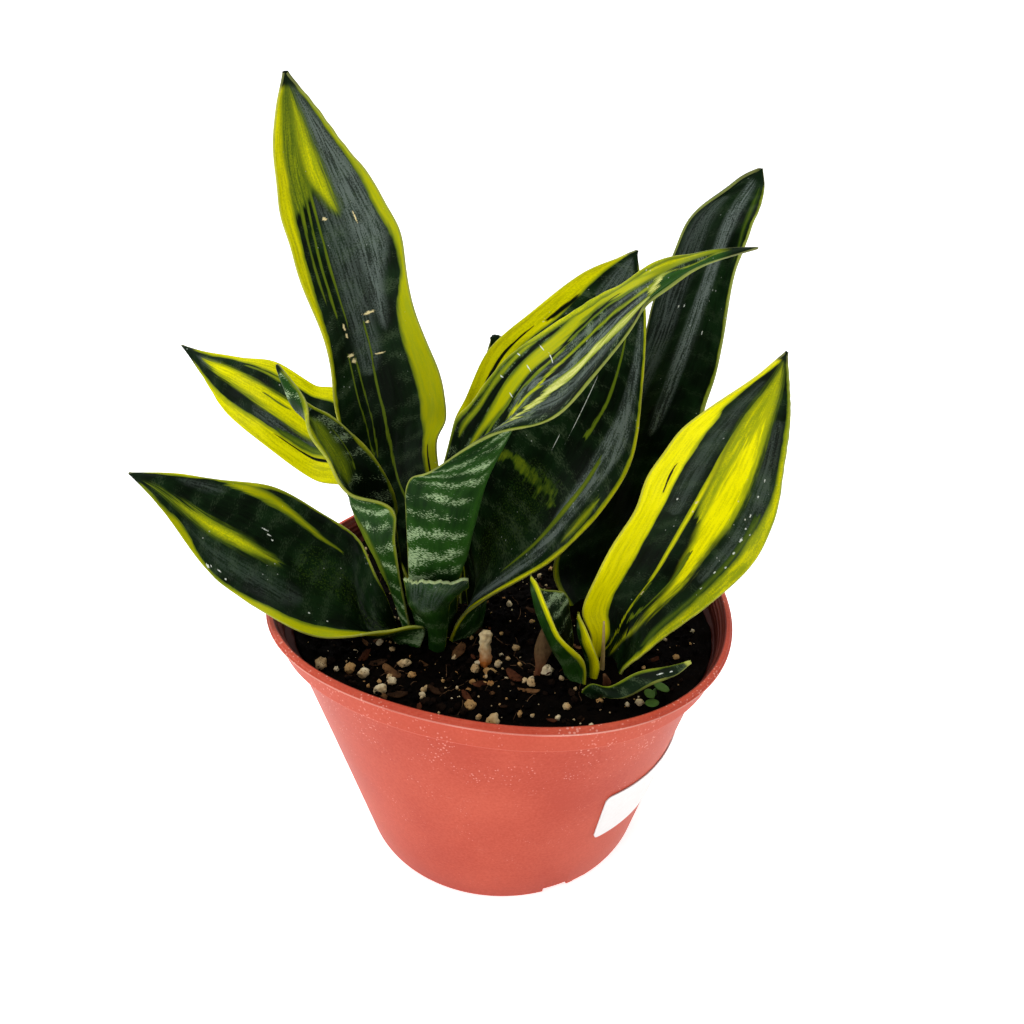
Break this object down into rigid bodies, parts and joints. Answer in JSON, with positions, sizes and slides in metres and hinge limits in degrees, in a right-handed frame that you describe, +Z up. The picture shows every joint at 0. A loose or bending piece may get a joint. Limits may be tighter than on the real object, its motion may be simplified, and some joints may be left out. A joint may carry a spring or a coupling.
{
  "type": "potted snake plant",
  "caption": "Variegated snake plant with broad arching leaves, standing in dark potting mix in a round tapered plastic nursery pot with a turned-over lip.",
  "frame": {"origin": "middle of the whole plant's footprint, on the surface the pot stands on; the pot's own axis is at x 0.0140, y -0.0009 m", "axes": "+Z up, along the pot's axis; the reference picture looks from the -Y side, with +X to its right"},
  "size_m": [0.197, 0.1516, 0.2485],
  "materials": {
    "terracotta_plastic": "moulded, soft sheen",
    "label_paper": "plain, slightly glossy",
    "potting_mix": "damp peat with perlite grains",
    "crown_flesh": "pale fleshy stem",
    "leaf": "waxy, dark green with yellow margins and stripes",
    "bark": "dry bark",
    "dry_leaf": "dry and brown",
    "weed": "soft green seedling"
  },
  "bodies": {
    "root": {"pot": "terracotta_plastic", "label": "label_paper", "soil": "potting_mix", "crown_main": "crown_flesh", "crown_pup": "crown_flesh", "crown_back": "crown_flesh", "leaf_tall": "leaf", "leaf_left_back": "leaf", "leaf_left_low": "leaf", "leaf_cupped": "leaf", "leaf_arching": "leaf", "leaf_broad": "leaf", "leaf_stub_front": "leaf", "leaf_young_back": "leaf", "leaf_back_plant": "leaf", "pup_leaf_large": "leaf", "pup_leaf_folded": "leaf", "pup_leaf_low": "leaf", "pup_leaf_inner": "leaf", "bark_peg": "bark", "dry_leaf": "dry_leaf", "pup_bract": "dry_leaf", "dry_spike": "dry_leaf", "weed_seedling": "weed"}
  },
  "joints": []
}
